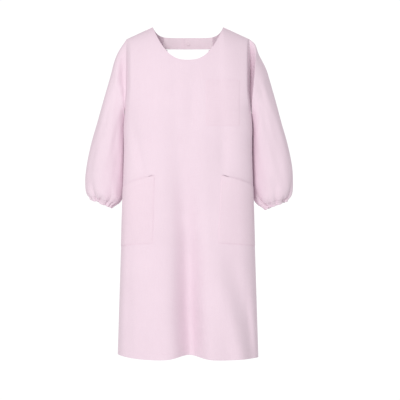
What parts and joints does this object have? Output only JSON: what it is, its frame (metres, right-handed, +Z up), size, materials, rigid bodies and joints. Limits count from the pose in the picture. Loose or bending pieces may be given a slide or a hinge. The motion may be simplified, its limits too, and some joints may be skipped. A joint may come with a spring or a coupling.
{
  "type": "back-opening care gown",
  "caption": "Long-sleeved pink smock gown that opens down the back, with elastic cuffs, a chest pocket, two hip pockets and a neck band that closes with a press stud.",
  "frame": {"origin": "midway between the two neck points, where the shoulder seams meet the neckline; the gown hangs as it is worn, on a hanger or a wearer that the part doesn't include", "axes": "+Z up, the wearer faces -Y, +X to the wearer's left (the viewer's right); node names use left and right as seen from the front"},
  "size_m": [0.6558, 0.1954, 1.0526],
  "materials": {
    "gown_cloth": "pale pink plain-weave polyester and cotton, soft matt",
    "trim_cloth": "the same pale pink cloth, top-stitched",
    "facing_cloth": "the same pale pink cloth, seen from its wrong side",
    "elastic": "white braided elastic, ribbed",
    "label": "white satin tape, blank",
    "stud": "pale pink moulded resin, semi-matt"
  },
  "bodies": {
    "gown": {"front_panel": "gown_cloth", "neck_facing": "facing_cloth", "front_hem": "facing_cloth", "care_label": "label", "chest_pocket": "trim_cloth", "chest_pocket_hem": "facing_cloth", "left_hip_pocket": "trim_cloth", "left_hip_pocket_hem": "facing_cloth", "right_hip_pocket": "trim_cloth", "right_hip_pocket_hem": "facing_cloth", "left_back_shoulder": "gown_cloth", "right_back_shoulder": "gown_cloth", "left_back_side": "gown_cloth", "right_back_side": "gown_cloth", "left_sleeve_cap": "gown_cloth", "right_sleeve_cap": "gown_cloth", "left_sleeve_bend": "gown_cloth", "right_sleeve_bend": "gown_cloth"},
    "left_flap": {"left_back_flap": "gown_cloth", "left_back_hem": "facing_cloth", "left_back_facing": "facing_cloth", "left_tie_patch": "trim_cloth"},
    "right_flap": {"right_back_flap": "gown_cloth", "right_back_hem": "facing_cloth", "right_back_facing": "facing_cloth", "right_tie_patch": "trim_cloth"},
    "left_neck_end": {"left_neck_band": "trim_cloth", "stud_cap": "stud", "stud_socket": "stud"},
    "right_neck_end": {"right_neck_band": "trim_cloth", "stud_knob": "stud", "stud_back_cap": "stud"},
    "left_arm": {"left_sleeve": "gown_cloth", "left_cuff_casing": "facing_cloth", "left_cuff_elastic": "elastic"},
    "right_arm": {"right_sleeve": "gown_cloth", "right_cuff_casing": "facing_cloth", "right_cuff_elastic": "elastic"}
  },
  "joints": [
    {"name": "left_flap_fold", "type": "hinge", "parent": "gown", "child": "left_flap", "pos_m": [-0.08, 0.0585, -0.07], "axis": [0.1286, 0.0051, 0.9917], "range_deg": [0, 100]},
    {"name": "right_flap_fold", "type": "hinge", "parent": "gown", "child": "right_flap", "pos_m": [0.08, 0.0585, -0.07], "axis": [0.1286, -0.0051, -0.9917], "range_deg": [0, 100]},
    {"name": "left_neck_end_open", "type": "hinge", "parent": "gown", "child": "left_neck_end", "pos_m": [-0.0798, 0.0415, -0.0525], "axis": [0, 0, 1], "range_deg": [0, 100]},
    {"name": "right_neck_end_open", "type": "hinge", "parent": "gown", "child": "right_neck_end", "pos_m": [0.0798, 0.035, -0.0525], "axis": [0, 0, 1], "range_deg": [0, 45]},
    {"name": "left_arm_raise", "type": "hinge", "parent": "gown", "child": "left_arm", "pos_m": [-0.2435, 0.014, -0.312], "axis": [0, 1, 0], "range_deg": [0, 60], "deforming": ["left_sleeve_bend"]},
    {"name": "right_arm_raise", "type": "hinge", "parent": "gown", "child": "right_arm", "pos_m": [0.2435, 0.014, -0.312], "axis": [0, -1, 0], "range_deg": [0, 60], "deforming": ["right_sleeve_bend"]}
  ]
}
